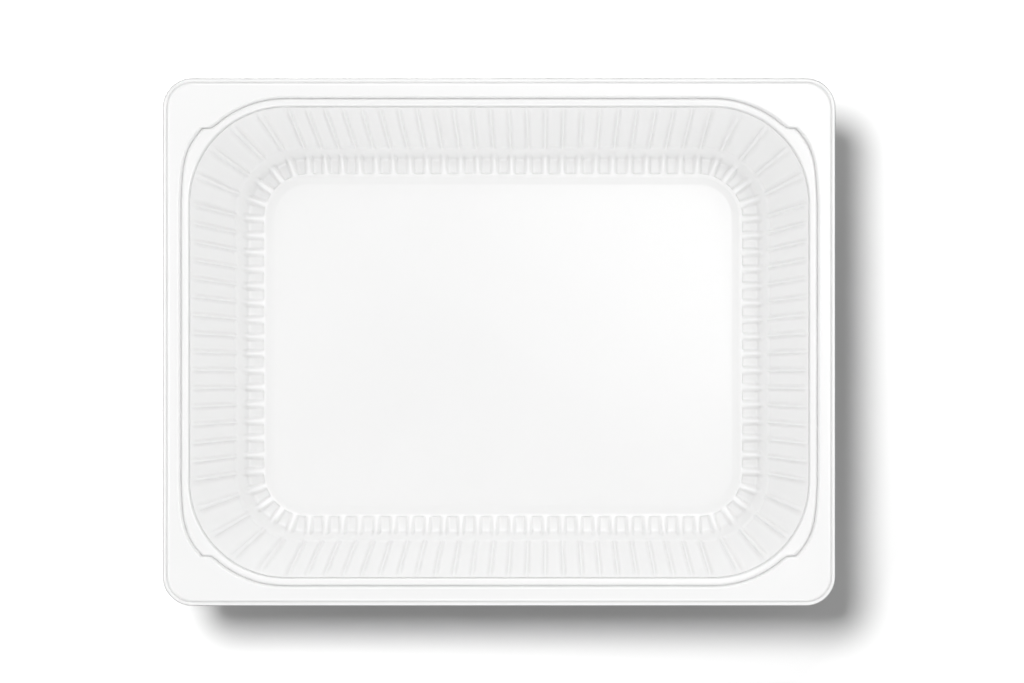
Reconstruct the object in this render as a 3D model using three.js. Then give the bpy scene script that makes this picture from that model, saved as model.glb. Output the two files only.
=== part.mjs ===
// A thermoformed food tray, 227 x 178 x 50 mm, pressed from one plastic sheet. Millimetres, +Z up.
// The origin is in the middle of the footprint, on the surface that the tray stands on.
// The upper face is made of closed rings from the rim to the floor, and the lower face lies one
// sheet thickness behind it, so every rib, bar and pocket shows on both sides.
import * as THREE from "three";

// Overall size and sheet
const trayLength = 227;
const trayWidth = 178;
const trayHeight = 50;
const sheetThickness = 0.5;

// Flange: a flat sealing face with a narrow lowered margin at its trimmed edge. It is a little
// wider along the long sides
const flangeCornerRadius = 10;
const marginWidth = 1.4;
const marginDrop = 0.5;
const marginSlopeWidth = 0.25;
const flangeWidth = 5.5;
const longSideFlangeWidth = 6.2;

// Shoulder: a low step below the flange that carries the nesting lugs
const shoulderStepWidth = 0.6;
const shoulderDepth = 2.0;
const shoulderLedgeWidth = 2.05;
const shoulderLedgeFall = 0.2;
const lugReach = 2.4;
const lugStartAngle = THREE.MathUtils.degToRad(4);
const lugFullAngle = THREE.MathUtils.degToRad(34);
const lugEndAngle = THREE.MathUtils.degToRad(41.7);
const lugFootAngle = THREE.MathUtils.degToRad(46.3);

// Side wall: slanted, with a rounded top edge and slim upright ribs
const wallEdgeWidth = 0.7;
const wallEdgeDrop = 1.2;
const wallTopCornerRadius = 32.3;
const wallDraft = THREE.MathUtils.degToRad(13);
const wallFootHeight = 13.2;
const ribPitch = 6.17;
const ribHeight = 0.45;
const ribCrestWidth = 0.9;
const ribBaseWidth = 2.0;
const ribRunOut = 3.5;

// Heel: pockets between sloping bars, which run on from the ribs. The tray stands on the pockets
const lipWidth = 0.9;
const lipFall = 0.5;
const barTopFall = 8.5;
const barTopWidth = 1.5;
const barEndWidth = 2.2;
const barFlankWidth = 0.45;
const barEndHeight = 1.0;
const pocketFaceWidth = 1.5;
const pocketLength = 6.0;
const pocketEndWidth = 0.5;

// Floor: a narrow flat band inside the pockets, round a slightly raised panel
const bandHeight = 0.8;
const bandWidth = 0.8;
const panelSlopeWidth = 2.7;
const panelRise = 0.9;

// How finely the rounded corners are stepped
const cornerSteps = 12;

// Insets of the rings from the flange's outer edge on the short sides
const shoulderFootInset = flangeWidth + shoulderStepWidth;
const ledgeInset = shoulderFootInset + shoulderLedgeWidth;
const wallTopInset = ledgeInset + wallEdgeWidth;

// Heights of the upper face, where the sheet's underside touches the ground at height 0
const shoulderHeight = trayHeight - shoulderDepth;
const ledgeHeight = shoulderHeight - shoulderLedgeFall;
const wallTopHeight = ledgeHeight - wallEdgeDrop;
const pocketHeight = sheetThickness;
const floorHeight = pocketHeight + bandHeight;

// The corner arcs of every ring inside the shoulder share one centre in each corner
const coreX = trayLength / 2 - wallTopInset - wallTopCornerRadius;
const longSideInset = wallTopInset + longSideFlangeWidth - flangeWidth;
const coreY = trayWidth / 2 - longSideInset - wallTopCornerRadius;
const flangeCoreX = trayLength / 2 - flangeCornerRadius;
const flangeCoreY = trayWidth / 2 - flangeCornerRadius;

// Corner radius of the ring whose inset from the short side's edge is given
const radiusAtInset = (inset) => wallTopCornerRadius + wallTopInset - inset;

// Corner radius of the plain slanted wall at a height
const wallRadius = (height) =>
  wallTopCornerRadius - (wallTopHeight - height) * Math.tan(wallDraft);

const lipHeight = wallFootHeight - lipFall;
const lipRadius = wallRadius(wallFootHeight) - lipWidth;
const pocketOuterRadius = lipRadius - pocketFaceWidth;
const pocketInnerRadius = pocketOuterRadius - pocketLength;
const barTopHeight = wallFootHeight - barTopFall;
const bandOuterRadius = pocketInnerRadius - pocketEndWidth;
const bandInnerRadius = bandOuterRadius - bandWidth;
const panelRadius = bandInnerRadius - panelSlopeWidth;

// Distances along the track are measured where the pockets are, from the middle of the +X side,
// counter-clockwise. A quarter is half a short side, one corner and half a long side.
const trackRadius = (pocketOuterRadius + pocketInnerRadius) / 2;
const cornerTravel = (trackRadius * Math.PI) / 2;
const quarterTravel = coreY + cornerTravel + coreX;
const ribsPerQuarter = Math.round(quarterTravel / ribPitch);
const ribCount = 4 * ribsPerQuarter;
const ribTravel = quarterTravel / ribsPerQuarter;

// The corner centre or straight point that a track distance belongs to, and its outward direction
function trackAt(distance) {
  const quarter = Math.floor(distance / quarterTravel + 4) % 4;
  const lap = 4 * quarterTravel;
  const wrapped = ((distance % lap) + lap) % lap;
  const within = wrapped - quarter * quarterTravel;
  const along = quarter % 2 ? quarterTravel - within : within;
  const turn = THREE.MathUtils.clamp((along - coreY) / trackRadius, 0, Math.PI / 2);
  const signX = quarter === 1 || quarter === 2 ? -1 : 1;
  const signY = quarter >= 2 ? -1 : 1;
  return {
    x: signX * (coreX - Math.max(0, along - coreY - cornerTravel)),
    y: signY * Math.min(along, coreY),
    outX: signX * Math.cos(turn),
    outY: signY * Math.sin(turn),
    turn,
  };
}

// The angles at which the plain rings are stepped round a corner, counted from the short side
function cornerAngles() {
  const angles = [lugEndAngle, lugFootAngle];
  for (let i = 0; i <= cornerSteps; i++) angles.push(((i / cornerSteps) * Math.PI) / 2);
  return angles.sort((a, b) => a - b);
}

// Track distances of a plain ring, which has points at its corners alone
function plainStations() {
  const first = cornerAngles().map((angle) => coreY + angle * trackRadius);
  const second = first.map((s) => 2 * quarterTravel - s).reverse();
  const half = [...first, ...second];
  return [...half, ...half.map((s) => s + 2 * quarterTravel)];
}

// Track distances of a ribbed ring: two points on each rib or bar, and one on each side of it
function ribbedStations(crestWidth, baseWidth) {
  const stations = [];
  for (let i = 0; i < ribCount; i++) {
    const middle = (i + 0.5) * ribTravel;
    const offsets = [-baseWidth / 2, -crestWidth / 2, crestWidth / 2, baseWidth / 2];
    for (const offset of offsets) stations.push(middle + offset);
  }
  return stations;
}

// A ring is a list of track distances and the point at each
function ring(stations, radiusAt, heightAt, stretchX = 1, stretchY = 1) {
  const points = stations.map((distance, index) => {
    const track = trackAt(distance);
    const radius = radiusAt(track.turn, index);
    return new THREE.Vector3(
      track.x * stretchX + radius * track.outX,
      track.y * stretchY + radius * track.outY,
      heightAt(index),
    );
  });
  return { stations, points };
}

const plain = plainStations();

// A ring with no ribs, concentric with the wall's corners
function plainRing(radius, height) {
  return ring(plain, () => radius, () => height);
}

// A ring of the flange's outer margin, whose corners are tighter and further out
function marginRing(inset, height) {
  const stretchX = flangeCoreX / coreX;
  const stretchY = flangeCoreY / coreY;
  return ring(plain, () => flangeCornerRadius - inset, () => height, stretchX, stretchY);
}

// How far a nesting lug stands out of the shoulder at an angle from the short side
function lugAt(turn) {
  if (turn > lugEndAngle) return 0;
  return lugReach * THREE.MathUtils.smoothstep(turn, lugStartAngle, lugFullAngle);
}

// A ring of the shoulder, which bulges at each corner into a nesting lug
function shoulderRing(inset, height) {
  return ring(plain, (turn) => radiusAtInset(inset) + lugAt(turn), () => height);
}

// A ribbed ring: crest values hold on each rib or bar, and base values between them
function ribbedRing(crestWidth, baseWidth, crest, base) {
  const onCrest = (index) => index % 4 === 1 || index % 4 === 2;
  return ring(
    ribbedStations(crestWidth, baseWidth),
    (turn, index) => (onCrest(index) ? crest.radius : base.radius),
    (index) => (onCrest(index) ? crest.height : base.height),
  );
}

// The rings of the side wall, from its rounded top edge to the foot of its ribs
function wallRings() {
  const ribTop = wallTopHeight - ribRunOut;
  const at = (height, rise) => ({ radius: wallRadius(height) - rise, height });
  const ribbed = (height) =>
    ribbedRing(ribCrestWidth, ribBaseWidth, at(height, ribHeight), at(height, 0));
  return [plainRing(wallTopCornerRadius, wallTopHeight), ribbed(ribTop), ribbed(wallFootHeight)];
}

// The rings of the bars and of the pockets between them
function heelRings() {
  const outerBase = barTopWidth + 2 * barFlankWidth;
  const innerBase = barEndWidth + 2 * barFlankWidth;
  return [
    ribbedRing(
      ribCrestWidth,
      ribBaseWidth,
      { radius: wallRadius(lipHeight) - ribHeight, height: lipHeight },
      { radius: lipRadius, height: lipHeight },
    ),
    ribbedRing(
      barTopWidth,
      outerBase,
      { radius: pocketOuterRadius, height: barTopHeight },
      { radius: pocketOuterRadius, height: pocketHeight },
    ),
    ribbedRing(
      barEndWidth,
      innerBase,
      { radius: pocketInnerRadius, height: pocketHeight + barEndHeight },
      { radius: pocketInnerRadius, height: pocketHeight },
    ),
  ];
}

// Every ring of the upper face, from the trimmed edge of the flange to the floor panel
function upperRings() {
  return [
    marginRing(0, trayHeight - marginDrop),
    marginRing(marginWidth, trayHeight - marginDrop),
    marginRing(marginWidth + marginSlopeWidth, trayHeight),
    shoulderRing(flangeWidth, trayHeight),
    shoulderRing(shoulderFootInset, shoulderHeight),
    plainRing(radiusAtInset(ledgeInset), ledgeHeight),
    ...wallRings(),
    ...heelRings(),
    plainRing(bandOuterRadius, floorHeight),
    plainRing(bandInnerRadius, floorHeight),
    plainRing(panelRadius, floorHeight + panelRise),
  ];
}

// Joins two rings whose points pair up one to one
function joinPaired(outer, inner, faces) {
  const count = outer.length;
  for (let i = 0; i < count; i++) {
    const next = (i + 1) % count;
    faces.push([outer[i], outer[next], inner[next]], [outer[i], inner[next], inner[i]]);
  }
}

// Joins two rings with different numbers of points, always stepping on along the ring that lags
function joinUneven(outer, inner, outerStations, innerStations, faces) {
  const lap = 4 * quarterTravel;
  const reach = (stations, i) => stations[i % stations.length] + lap * Math.floor(i / stations.length);
  let i = 0;
  let j = 0;
  while (i < outer.length || j < inner.length) {
    const stepOuter =
      j >= inner.length ||
      (i < outer.length && reach(outerStations, i + 1) <= reach(innerStations, j + 1));
    const a = outer[i % outer.length];
    const b = inner[j % inner.length];
    if (stepOuter) faces.push([a, outer[++i % outer.length], b]);
    else faces.push([a, inner[++j % inner.length], b]);
  }
}

// The upper face as numbered points and triangles, closed in the middle by a fan
function upperFace() {
  const rings = upperRings();
  const points = [];
  const faces = [];
  const numbered = rings.map((each) => each.points.map((point) => points.push(point) - 1));
  for (let k = 0; k + 1 < rings.length; k++) {
    const [outer, inner] = [numbered[k], numbered[k + 1]];
    if (outer.length === inner.length) joinPaired(outer, inner, faces);
    else joinUneven(outer, inner, rings[k].stations, rings[k + 1].stations, faces);
  }
  const last = numbered.at(-1);
  const centre = points.push(new THREE.Vector3(0, 0, floorHeight + panelRise)) - 1;
  last.forEach((point, i) => faces.push([point, last[(i + 1) % last.length], centre]));
  return { points, faces, edge: numbered[0] };
}

// The direction and length by which each point moves to keep one sheet thickness behind every
// face that meets there: face normals weighted by their angles, lengthened at the creases
function mitres(points, faces) {
  const longestMitre = 1.5;
  const sums = points.map(() => new THREE.Vector3());
  const corners = [];
  for (const face of faces) {
    const [a, b, c] = face.map((i) => points[i]);
    const normal = new THREE.Triangle(a, b, c).getNormal(new THREE.Vector3());
    face.forEach((point, i) => {
      const to = (j) => points[face[(i + j) % 3]].clone().sub(points[point]);
      const angle = to(1).angleTo(to(2));
      sums[point].addScaledVector(normal, angle);
      corners.push({ point, normal, angle });
    });
  }
  const directions = sums.map((sum) => sum.clone().normalize());
  const totals = points.map(() => ({ angle: 0, facing: 0 }));
  for (const { point, normal, angle } of corners) {
    totals[point].angle += angle;
    totals[point].facing += angle * normal.dot(directions[point]);
  }
  return directions.map((direction, i) => {
    const mitre = Math.min(totals[i].angle / totals[i].facing, longestMitre);
    return direction.multiplyScalar(mitre);
  });
}

// The sheet: the upper face, the lower face behind it, and the trimmed edge between them
function sheetGeometry() {
  const { points, faces, edge } = upperFace();
  const behind = mitres(points, faces).map((mitre, i) =>
    points[i].clone().addScaledVector(mitre, -sheetThickness),
  );
  const isLevel = (point) => point.z === pocketHeight;
  points.forEach((point, i) => isLevel(point) && behind[i].setZ(0));
  edge.forEach((i) => behind[i].copy(points[i]).setZ(points[i].z - sheetThickness));
  const count = points.length;
  const all = [...points, ...behind];
  const index = [];
  for (const [a, b, c] of faces) index.push(a, b, c, a + count, c + count, b + count);
  edge.forEach((a, i) => {
    const b = edge[(i + 1) % edge.length];
    index.push(a, a + count, b, b, a + count, b + count);
  });
  return new THREE.BufferGeometry().setFromPoints(all).setIndex(index);
}

const plastic = new THREE.MeshStandardMaterial({
  color: 0xf4f4f3,
  roughness: 0.32,
  metalness: 0,
  name: "white_polypropylene",
});

const geometry = sheetGeometry();
geometry.computeVertexNormals();
const tray = new THREE.Mesh(geometry, plastic);
tray.name = "tray";

const foodTray = new THREE.Group();
foodTray.add(tray);

export default foodTray;
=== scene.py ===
import math

import bmesh
import bpy
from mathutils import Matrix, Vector


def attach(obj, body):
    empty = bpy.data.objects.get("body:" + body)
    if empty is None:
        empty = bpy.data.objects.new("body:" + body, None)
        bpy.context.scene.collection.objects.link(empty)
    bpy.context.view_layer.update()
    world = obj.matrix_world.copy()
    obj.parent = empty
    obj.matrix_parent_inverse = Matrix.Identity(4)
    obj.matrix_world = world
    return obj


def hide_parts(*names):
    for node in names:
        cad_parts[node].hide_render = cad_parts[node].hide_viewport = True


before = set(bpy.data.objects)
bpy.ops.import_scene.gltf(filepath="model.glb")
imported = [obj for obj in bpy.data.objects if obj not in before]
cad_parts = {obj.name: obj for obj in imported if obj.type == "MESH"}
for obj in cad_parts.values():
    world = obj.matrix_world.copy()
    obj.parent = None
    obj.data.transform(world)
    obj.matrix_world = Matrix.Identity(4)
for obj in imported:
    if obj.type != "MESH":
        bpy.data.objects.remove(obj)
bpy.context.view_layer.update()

# Tray sheet
# One sheet of white polypropylene, half a millimetre thick, heated and pressed into a mould.
# Every rib, bar and pocket is pressed into that one sheet, so the outside repeats the inside.
# It is drawn ring by ring, from the trimmed edge of the flange in and down to the floor.

mm = 0.001
sheet_thickness = 0.5
tray_length, tray_width = 227.0, 178.0
flange_corner = 10.0

# the corner arcs of the shoulder, the wall and the foot share one centre in each corner
core_x, core_y = 72.35, 47.15
rim_radius = 41.15
wall_top_radius, wall_top_height = 32.3, 46.6
wall_slant = math.tan(math.radians(13.0))

# the ribs stand evenly along a track round the foot of the wall
track_radius = 19.19
corner_travel = track_radius * math.pi / 2
quarter = core_y + corner_travel + core_x
ribs_per_quarter = 24
rib_pitch = quarter / ribs_per_quarter
rib_crest, rib_foot = 0.38, 0.7
rib_height, panel_bulge = 0.85, 0.3
rib_fade_top, rib_fade_end = 46.8, 42.0


def clamp(value, low, high):
    return max(low, min(high, value))


def ease(low, high, value):
    part = clamp((value - low) / (high - low), 0.0, 1.0)
    return part * part * (3 - 2 * part)


def wall_radius(height):
    return wall_top_radius - (wall_top_height - height) * wall_slant


def track(distance):
    """Core point, outward direction and turn into the corner, at a distance round the tray."""
    sector = int(distance // quarter) % 4
    within = distance % quarter
    along = quarter - within if sector % 2 else within
    turn = clamp((along - core_y) / track_radius, 0.0, math.pi / 2)
    side_x = -1 if sector in (1, 2) else 1
    side_y = -1 if sector >= 2 else 1
    x = side_x * (core_x - max(0.0, along - core_y - corner_travel))
    y = side_y * min(along, core_y)
    return x, y, side_x * math.cos(turn), side_y * math.sin(turn), turn


def spots(crest, foot):
    """Offsets over one pitch, each with its share of the rib: 1 on the crest, 0 on the panel."""
    half = rib_pitch / 2
    side = [
        (crest, 1.0),
        ((crest + foot) / 2, 0.5),
        (foot, 0.0),
        (foot + 0.45 * (half - foot), 0.0),
    ]
    beyond = [(rib_pitch - offset, share) for offset, share in reversed(side)]
    return [(0.0, 1.0)] + side + [(half, 0.0)] + beyond


plain_spots = [offset for offset, _ in spots(0.45, 1.0)]
points_per_rib = len(plain_spots)


def plain_track(cell, spot):
    along = cell * rib_pitch + plain_spots[spot] + rib_pitch / 2
    return track(along % (4 * quarter))


def flange_ring(inset, height):
    """A ring of the flange's margin, with the flange's own tighter corners."""
    stretch_x = (tray_length / 2 - flange_corner) / core_x
    stretch_y = (tray_width / 2 - flange_corner) / core_y
    radius = flange_corner - inset

    def place(cell, spot):
        x, y, out_x, out_y, _ = plain_track(cell, spot)
        return x * stretch_x + out_x * radius, y * stretch_y + out_y * radius, height

    return place


lug_reach = 2.4
lug_start, lug_full = math.radians(4), math.radians(34)
lug_end, lug_foot = math.radians(41.7), math.radians(46.3)


def shoulder_ring(inset, height, lug):
    """A ring of the shoulder, which bulges outwards into a nesting lug in each corner."""

    def place(cell, spot):
        x, y, out_x, out_y, turn = plain_track(cell, spot)
        bulge = ease(lug_start, lug_full, turn) * (1 - ease(lug_end, lug_foot, turn))
        radius = rim_radius - inset + lug_reach * lug * bulge
        return x + out_x * radius, y + out_y * radius, height

    return place


def ribbed_ring(rib, panel, crest, foot, bulge=0.0):
    """A ring with one (radius, height) on each rib or bar and another on the panels between."""
    offsets = spots(crest, foot)

    def place(cell, spot):
        offset, share = offsets[spot]
        along = (cell + 0.5) * rib_pitch + offset
        x, y, out_x, out_y, _ = track(along % (4 * quarter))
        swell = bulge * (1 - share) * math.cos(math.pi * (offset / rib_pitch - 0.5)) ** 2
        radius = panel[0] + (rib[0] - panel[0]) * share - swell
        height = panel[1] + (rib[1] - panel[1]) * share
        return x + out_x * radius, y + out_y * radius, height

    return place


rings = []

# inset and height: the trimmed edge, the lowered margin, a groove and the flat flange
for inset, height in (
    (0.0, 49.0),
    (0.28, 49.47),
    (1.3, 49.5),
    (1.4, 48.85),
    (1.58, 48.85),
    (1.68, 50.0),
    (2.6, 50.0),
):
    rings.append(flange_ring(inset, height))

# inset, height and share of the lug: the step down, its groove, the ledge and the wall's groove
for inset, height, lug in (
    (5.05, 50.0, 1.0),
    (5.46, 49.97, 1.0),
    (5.58, 49.6, 1.0),
    (5.7, 46.7, 1.0),
    (5.92, 46.6, 1.0),
    (6.08, 48.2, 1.0),
    (7.1, 48.05, 1.0),
    (7.75, 47.95, 0.0),
    (8.32, 47.85, 0.0),
    (8.4, 46.6, 0.0),
    (8.6, 46.6, 0.0),
    (8.72, 47.5, 0.0),
):
    rings.append(shoulder_ring(inset, height, lug))

# from the foot of the wall's groove onto the wall, four rings of the sheet are drawn thin
thin_start, thin_end = len(rings) - 3, len(rings) + 1
thin_share = 0.2

for height in (46.6, 45.6, 44.4, 43.0, 41.0, 37.0, 31.0, 25.0, 19.0, 15.0):
    grown = ease(rib_fade_top, rib_fade_end, height)
    rib = (wall_radius(height) - rib_height * grown, height)
    panel = (wall_radius(height), height)
    rings.append(ribbed_ring(rib, panel, rib_crest, rib_foot, panel_bulge * grown))

# panel radius and height, bar radius and height, half widths of the bar's crest and foot:
# the lip under the wall, the pockets' steep faces and their floors, and the bars beside them
lip_bottom, lip_bulge = 12.5, 0.18
for panel_radius, panel_height, bar_radius, bar_height, crest, foot in (
    (24.62, 13.5, 23.85, 13.4, 0.38, 0.82),
    (24.5, 13.1, 23.8, 12.9, 0.4, 0.86),
    (24.2, 12.75, 23.75, 12.4, 0.42, 0.94),
    (23.8, 12.4, 23.6, 11.2, 0.48, 1.0),
    (23.55, 11.8, 23.3, 9.8, 0.52, 1.02),
    (23.35, 10.8, 23.05, 8.6, 0.58, 1.05),
    (22.85, 7.0, 22.65, 6.6, 0.66, 1.14),
    (22.45, 3.2, 22.3, 5.3, 0.74, 1.2),
    (22.15, 1.6, 21.95, 4.75, 0.74, 1.34),
    (21.75, 0.95, 21.6, 4.3, 0.74, 1.42),
    (21.0, 0.7, 21.0, 3.9, 0.76, 1.52),
    (19.0, 0.62, 19.0, 2.8, 0.84, 1.66),
    (17.0, 0.54, 17.0, 1.8, 0.92, 1.76),
    (16.5, 0.56, 16.5, 1.58, 0.96, 1.78),
    (16.25, 0.72, 16.25, 1.48, 1.0, 1.8),
    (16.05, 1.3, 16.05, 1.4, 1.1, 1.8),
    (15.92, 1.36, 15.92, 1.36, 1.2, 1.8),
):
    bulge = lip_bulge if panel_height > lip_bottom else 0.0
    panel, bar = (panel_radius, panel_height), (bar_radius, bar_height)
    rings.append(ribbed_ring(bar, panel, crest, foot, bulge))

# radius and height: the flat band, the slope and the edge of the raised floor panel
band_crest, band_foot = 1.2, 1.8
for radius, height in (
    (15.72, 1.26),
    (15.55, 1.22),
    (14.9, 1.24),
    (14.5, 1.3),
    (12.4, 1.9),
    (11.8, 1.98),
):
    rings.append(ribbed_ring((radius, height), (radius, height), band_crest, band_foot))


def seat(verts, place):
    for number, vert in enumerate(verts):
        cell, spot = divmod(number, points_per_rib)
        vert.co = Vector(place(cell, spot)) * mm


points_per_ring = 4 * ribs_per_quarter * points_per_rib
shell = bmesh.new()
bmesh.ops.create_circle(shell, segments=points_per_ring, radius=1.0)
shell.verts.ensure_lookup_table()
ring_verts = list(shell.verts)
ring_edges = list(shell.edges)
seat(ring_verts, rings[0])
thin_verts = []
for number, place in enumerate(rings[1:], start=1):
    grown = bmesh.ops.extrude_edge_only(shell, edges=ring_edges)["geom"]
    fresh = {item for item in grown if isinstance(item, bmesh.types.BMVert)}
    ring_edges = [item for item in grown if isinstance(item, bmesh.types.BMEdge)]
    ring_edges = [edge for edge in ring_edges if all(vert in fresh for vert in edge.verts)]
    follow = []
    for vert in ring_verts:
        partners = (edge.other_vert(vert) for edge in vert.link_edges)
        follow.append(next(partner for partner in partners if partner in fresh))
    ring_verts = follow
    seat(ring_verts, place)
    if thin_start <= number < thin_end:
        thin_verts.extend(ring_verts)
bmesh.ops.contextual_create(shell, geom=ring_edges)
bmesh.ops.recalc_face_normals(shell, faces=shell.faces)
if sum(face.normal.z * face.calc_area() for face in shell.faces) < 0:
    bmesh.ops.reverse_faces(shell, faces=shell.faces)
for face in shell.faces:
    face.smooth = True
shell.verts.index_update()
thin_numbers = [vert.index for vert in thin_verts]


def face_order(face):
    numbers = [vert.index for vert in face.verts]
    return min(numbers) * len(shell.verts) + max(numbers)


# a fixed order of the faces gives the same mesh in each run
shell.faces.sort(key=face_order)
mesh = bpy.data.meshes.new("tray_sheet")
shell.to_mesh(mesh)
shell.free()
tray = bpy.data.objects.new("tray_sheet", mesh)
bpy.context.scene.collection.objects.link(tray)

drawn = tray.vertex_groups.new(name="drawn_sheet")
drawn.add(range(len(mesh.vertices)), 1.0, "REPLACE")
drawn.add(thin_numbers, thin_share, "REPLACE")
sheet = tray.modifiers.new("sheet", "SOLIDIFY")
sheet.vertex_group = drawn.name
sheet.thickness = sheet_thickness * mm
sheet.offset = -1.0
sheet.use_even_offset = True


class Value:
    """A shader socket that can be used in Python arithmetic."""

    def __init__(self, nodes, socket):
        self.nodes, self.socket = nodes, socket

    def math(self, operation, other):
        return self.nodes.add("ShaderNodeMath", {"operation": operation}, {0: self, 1: other})

    def __add__(self, other):
        return self.math("ADD", other)

    def __mul__(self, other):
        return self.math("MULTIPLY", other)

    __radd__ = __add__
    __rmul__ = __mul__


class Nodes:
    """A node tree. add takes a node's type, its settings and its sockets' values or links."""

    def __init__(self, tree):
        self.tree = tree

    def fill(self, node, sockets):
        for key, value in sockets.items():
            if isinstance(value, Value):
                self.tree.links.new(value.socket, node.inputs[key])
            else:
                node.inputs[key].default_value = value

    def add(self, kind, settings=None, sockets=None, out=0):
        node = self.tree.nodes.new(kind)
        for key, value in (settings or {}).items():
            setattr(node, key, value)
        self.fill(node, sockets or {})
        return Value(self, node.outputs[out])

    def blend(self, share, first, second):
        settings = {"data_type": "RGBA"}
        return self.add("ShaderNodeMix", settings, {"Factor": share, 6: first, 7: second}, out=2)

    def ramp(self, value, start, end, settings=None):
        sockets = {"Value": value, "From Min": start, "From Max": end}
        return self.add("ShaderNodeMapRange", settings, sockets, out="Result")


class Finish(Nodes):
    """A material with its principled shader."""

    def __init__(self, name):
        self.material = bpy.data.materials.new(name)
        self.material.use_nodes = True
        super().__init__(self.material.node_tree)
        self.shader = self.tree.nodes["Principled BSDF"]

    def surface(self, **sockets):
        self.fill(self.shader, {key.replace("_", " "): value for key, value in sockets.items()})


def grey(level, blue=None):
    return (level, level, level if blue is None else blue, 1)


smooth = {"interpolation_type": "SMOOTHSTEP"}
plastic = Finish("white_polypropylene")
where = plastic.add("ShaderNodeTexCoord", out="Object")
cloud = plastic.add(
    "ShaderNodeTexNoise", {}, {"Vector": where, "Scale": 18.0, "Detail": 3.0}, out="Fac"
)
grain = plastic.add(
    "ShaderNodeTexNoise", {}, {"Vector": where, "Scale": 900.0, "Detail": 2.0}, out="Fac"
)
tone = plastic.blend(cloud, grey(0.96, 0.958), grey(0.97, 0.969))

# painted shade: the pockets' floors are a little greyer, standing in for the shade that falls in
# these recesses
pocket_low, pocket_high = 0.9 * mm, 1.4 * mm
height = plastic.add("ShaderNodeSeparateXYZ", {}, {"Vector": where}, out="Z")
clear_of_pocket_shade = plastic.ramp(height, pocket_low, pocket_high, smooth)
tone = plastic.blend(clear_of_pocket_shade, grey(0.94, 0.938), tone)

# painted shade: a thin dark line along the outermost edge, standing in for the shade on the
# edge's steep face
corner_x, corner_y = tray_length / 2 - flange_corner, tray_width / 2 - flange_corner
corner = (corner_x * mm, corner_y * mm, 1.0)
edge_start, edge_full = (flange_corner - 0.4) * mm, (flange_corner - 0.2) * mm
beyond = plastic.add("ShaderNodeVectorMath", {"operation": "ABSOLUTE"}, {0: where})
beyond = plastic.add("ShaderNodeVectorMath", {"operation": "SUBTRACT"}, {0: beyond, 1: corner})
beyond = plastic.add("ShaderNodeVectorMath", {"operation": "MAXIMUM"}, {0: beyond, 1: (0, 0, 0)})
reach = plastic.add("ShaderNodeVectorMath", {"operation": "LENGTH"}, {0: beyond}, out="Value")
painted_edge_shade = plastic.ramp(reach, edge_start, edge_full, smooth)
tone = plastic.blend(painted_edge_shade, tone, grey(0.4))

relief = cloud * 0.8 + grain * 0.02
ripple = plastic.add(
    "ShaderNodeBump", {}, {"Strength": 0.25, "Distance": 0.4 * mm, "Height": relief}
)
plastic.surface(Base_Color=tone, Roughness=0.27 + cloud * 0.1, Normal=ripple, IOR=1.49)
mesh.materials.append(plastic.material)
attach(tray, "root")
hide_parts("tray")

# Floor
# A plain pale studio floor of matt paper, a hair below the tray. It takes the tray's shadow.
# Its colour as the camera sees it is painted light: pale grey round the tray, rising to white
# further out to make up for the lamps reaching less there.

floor_mesh = bpy.data.meshes.new("studio_floor")
sweep = bmesh.new()
bmesh.ops.create_grid(sweep, x_segments=1, y_segments=1, size=6.0)
sweep.to_mesh(floor_mesh)
sweep.free()
floor = bpy.data.objects.new("studio_floor", floor_mesh)
bpy.context.scene.collection.objects.link(floor)
floor.location.z = -0.2 * mm
paper = Finish("studio_paper")
seen = paper.add("ShaderNodeLightPath", out="Is Camera Ray")
spot = paper.add("ShaderNodeTexCoord", out="Object")
reach = paper.add("ShaderNodeVectorMath", {"operation": "LENGTH"}, {0: spot}, out="Value")
# painted light: the paper grows whiter outwards in place of the lamp light that falls off there
near_tray, far_floor = 0.165, 0.45
floor_light_ramp = paper.ramp(reach, near_tray, far_floor)
painted_floor_light = paper.blend(floor_light_ramp, grey(0.34), grey(1.0))
paper.surface(
    Base_Color=paper.blend(seen, grey(0.2), painted_floor_light), Roughness=1.0, Specular_IOR_Level=0.0
)
floor_mesh.materials.append(paper.material)

# Light and camera
# An even white surround, a little brighter low beyond the long sides, with a small key lamp on
# the upper left and a wide fill on the upper right. Five lamps act on gloss alone: one gives the
# flange its sheen, and one beyond each side lights up the sloping bars. The last lamp lights the
# floor alone, so the tray's shadow is dark while the plastic stays even.

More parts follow.
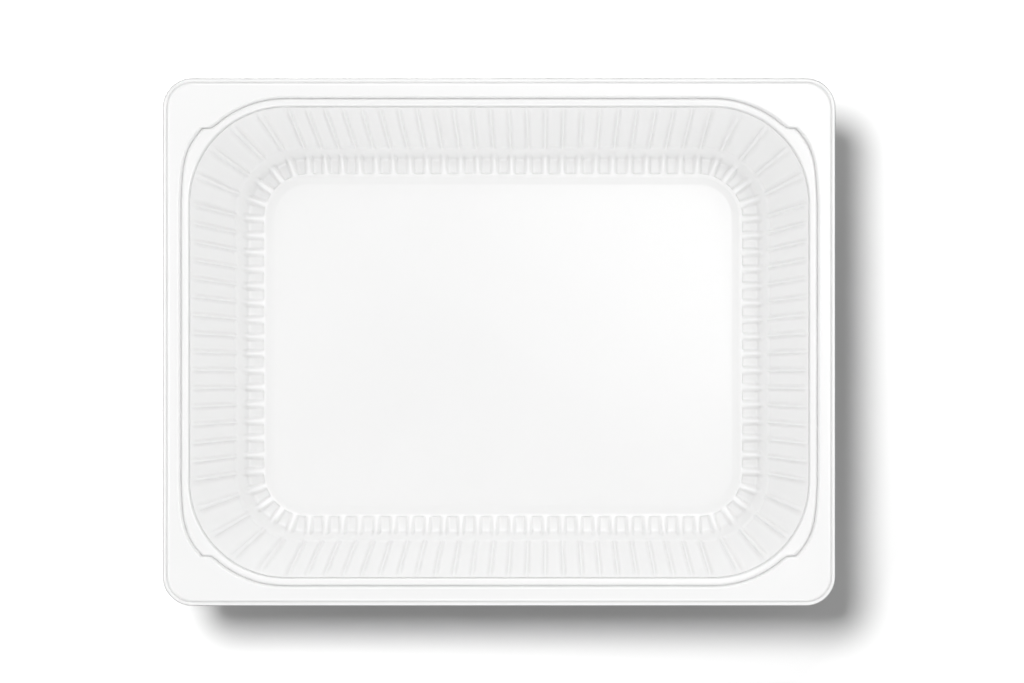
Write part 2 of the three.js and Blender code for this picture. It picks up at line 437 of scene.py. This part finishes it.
scene = bpy.context.scene
surround = bpy.data.worlds.new("surround")
scene.world = surround
surround.use_nodes = True
sky = Nodes(surround.node_tree)
seen = sky.add("ShaderNodeLightPath", out="Is Camera Ray")
towards = sky.add("ShaderNodeTexCoord", out="Generated")
side = sky.add("ShaderNodeSeparateXYZ", {}, {"Vector": towards}, out="Y")
glow = side * side * 0.38 + 0.705
strength = sky.add("ShaderNodeMix", {}, {"Factor": seen, "A": glow, "B": 1.0}, out="Result")
sky.fill(sky.tree.nodes["Background"], {"Color": grey(1.0), "Strength": strength})


def softbox(name, size, energy, place):
    lamp_data = bpy.data.lights.new(name, "AREA")
    lamp_data.shape = "DISK"
    lamp_data.size = size
    lamp_data.energy = energy
    lamp = bpy.data.objects.new(name, lamp_data)
    scene.collection.objects.link(lamp)
    lamp.location = place
    lamp.rotation_euler = (-lamp.location).to_track_quat("-Z", "Y").to_euler()
    return lamp


key = softbox("key_softbox", 0.4, 1.6, (-0.48, 0.43, 1.4))
key.visible_glossy = False
softbox("fill_softbox", 0.9, 2.0, (0.36, 0.32, 1.4))
sheen = softbox("sheen_softbox", 0.8, 3.0, (0.42, 0.34, 1.3))
sheen.visible_diffuse = False
for side_x, side_y in ((1, 0), (-1, 0), (0, 1), (0, -1)):
    gleam = softbox("gleam_softbox", 0.7, 5.2, (0.75 * side_x, 0.75 * side_y, 0.8))
    gleam.visible_diffuse = False
floor_key = softbox("floor_softbox", 0.2, 11.8, (-0.131, 0.132, 0.6))
floor_key.visible_camera = False
floor_only = bpy.data.collections.new("floor_only")
floor_only.objects.link(floor)
floor_key.light_linking.receiver_collection = floor_only

# the camera looks straight down, and its shift puts the tray where the photograph has it
camera_data = bpy.data.cameras.new("overhead")
camera_data.sensor_width = 36.0
camera_data.lens = 51.87
camera_data.shift_x = -0.0331
camera_data.shift_y = 0.0333
camera = bpy.data.objects.new("overhead", camera_data)
scene.collection.objects.link(camera)
camera.location = (0.0158, -0.0113, 0.547)
scene.camera = camera
scene.view_settings.view_transform = "Standard"
